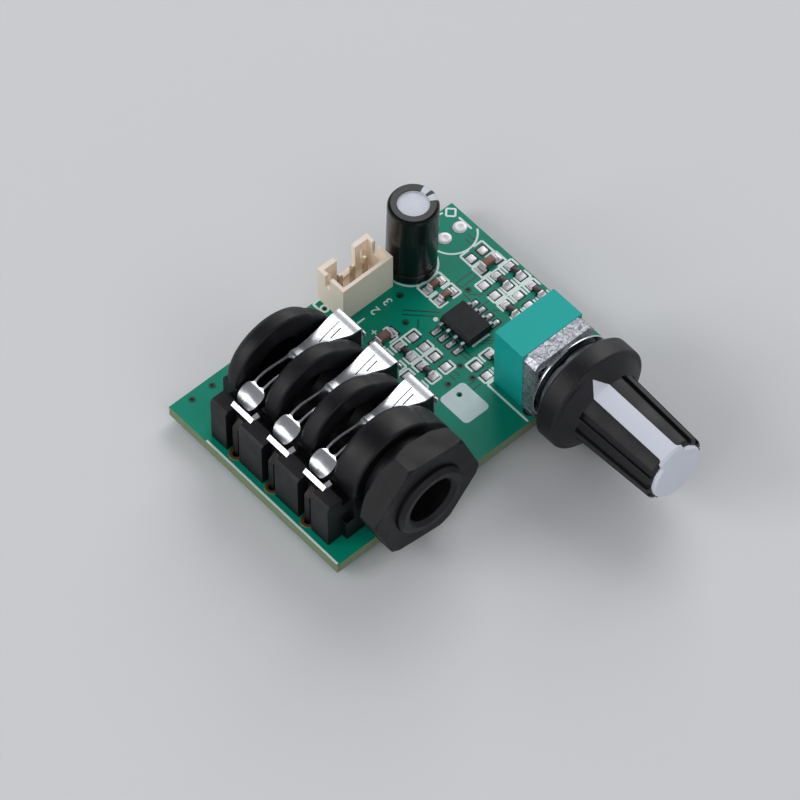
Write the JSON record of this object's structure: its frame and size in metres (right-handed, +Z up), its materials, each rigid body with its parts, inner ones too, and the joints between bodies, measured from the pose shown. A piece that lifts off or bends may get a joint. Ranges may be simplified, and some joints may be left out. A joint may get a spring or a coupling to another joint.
{
  "type": "guitar preamp board",
  "caption": "Small green circuit board with a three-contact jack socket, a control with a skirted knob, a pin header, an upright capacitor and surface-mounted chips.",
  "frame": {"origin": "centre of the bounding box's base, on the surface that the solder joints stand on", "axes": "+Z up, out of the board's component side; -Y towards the knob and the jack's mouth; +X from the jack towards the knob"},
  "size_m": [0.045, 0.0496, 0.0175],
  "materials": {
    "laminate": "green solder mask over glass-fibre laminate",
    "solder": "bright solder",
    "jack_moulding": "black nylon, satin",
    "nut_moulding": "black nylon, satin",
    "contact_tin": "tin-plated bronze, bright",
    "contact_fixed": "tin-plated brass",
    "header_nylon": "cream nylon",
    "pin_tin": "tin-plated brass",
    "can": "plain aluminium",
    "sleeve": "shrunk black sleeve",
    "bung": "black rubber",
    "pot_green": "blue-green moulding, satin",
    "pot_zinc": "zinc-plated, mottled",
    "washer_steel": "bright plated steel",
    "pot_brass": "nickel-plated brass",
    "shaft_metal": "turned aluminium",
    "rotor_plastic": "black moulding",
    "track": "laminate with carbon track",
    "wiper": "spring brass",
    "knob_black": "black moulding, satin",
    "knob_white": "white moulding",
    "ic_black": "black epoxy",
    "resistor": "black glaze with tinned ends",
    "ceramic": "brown ceramic with tinned ends"
  },
  "bodies": {
    "board": {"circuit_board": "laminate", "spare_pads": "solder", "spare_solder": "solder", "solder_joints": "solder", "jack_housing": "jack_moulding", "jack_nut": "nut_moulding", "sleeve_terminal": "contact_tin", "ring_terminal": "contact_tin", "tip_terminal": "contact_tin", "sleeve_switch": "contact_fixed", "ring_switch": "contact_fixed", "tip_switch": "contact_fixed", "header_housing": "header_nylon", "header_pins": "pin_tin", "capacitor_can": "can", "capacitor_sleeve": "sleeve", "capacitor_bung": "bung", "capacitor_leads": "contact_tin", "pot_housing": "pot_green", "pot_front_plate": "pot_zinc", "pot_track": "track", "pot_terminals": "pin_tin", "pot_washer": "washer_steel", "pot_nut": "pot_brass", "ic_body": "ic_black", "ic_leads": "contact_tin", "resistor_1": "resistor", "resistor_2": "resistor", "resistor_3": "resistor", "resistor_4": "resistor", "resistor_5": "resistor", "resistor_6": "resistor", "resistor_7": "resistor", "chip_capacitor_1": "ceramic", "chip_capacitor_2": "ceramic", "chip_capacitor_3": "ceramic", "chip_capacitor_4": "ceramic"},
    "knob": {"pot_shaft": "shaft_metal", "pot_rotor": "rotor_plastic", "pot_wiper": "wiper", "knob_body": "knob_black", "knob_insert": "knob_white"},
    "sleeve_spring": {"sleeve_blade": "contact_tin"},
    "ring_spring": {"ring_blade": "contact_tin"},
    "tip_spring": {"tip_blade": "contact_tin"}
  },
  "joints": [
    {"name": "knob_turn", "type": "hinge", "parent": "board", "child": "knob", "pos_m": [0.0132, -0.00537, 0.0079], "axis": [0, 1, 0], "range_deg": [-135, 165]},
    {"name": "sleeve_lift", "type": "hinge", "parent": "board", "child": "sleeve_spring", "pos_m": [-0.0018, 0.00265, 0.01093], "axis": [0, 1, 0], "range_deg": [0, 8], "stiffness_Nm_per_rad": 0.08, "springref_deg": -3.44},
    {"name": "ring_lift", "type": "hinge", "parent": "board", "child": "ring_spring", "pos_m": [-0.0018, 0.009, 0.01093], "axis": [0, 1, 0], "range_deg": [0, 8], "stiffness_Nm_per_rad": 0.08, "springref_deg": -3.44},
    {"name": "tip_lift", "type": "hinge", "parent": "board", "child": "tip_spring", "pos_m": [-0.0018, 0.01535, 0.01093], "axis": [0, 1, 0], "range_deg": [0, 8], "stiffness_Nm_per_rad": 0.08, "springref_deg": -3.44}
  ]
}
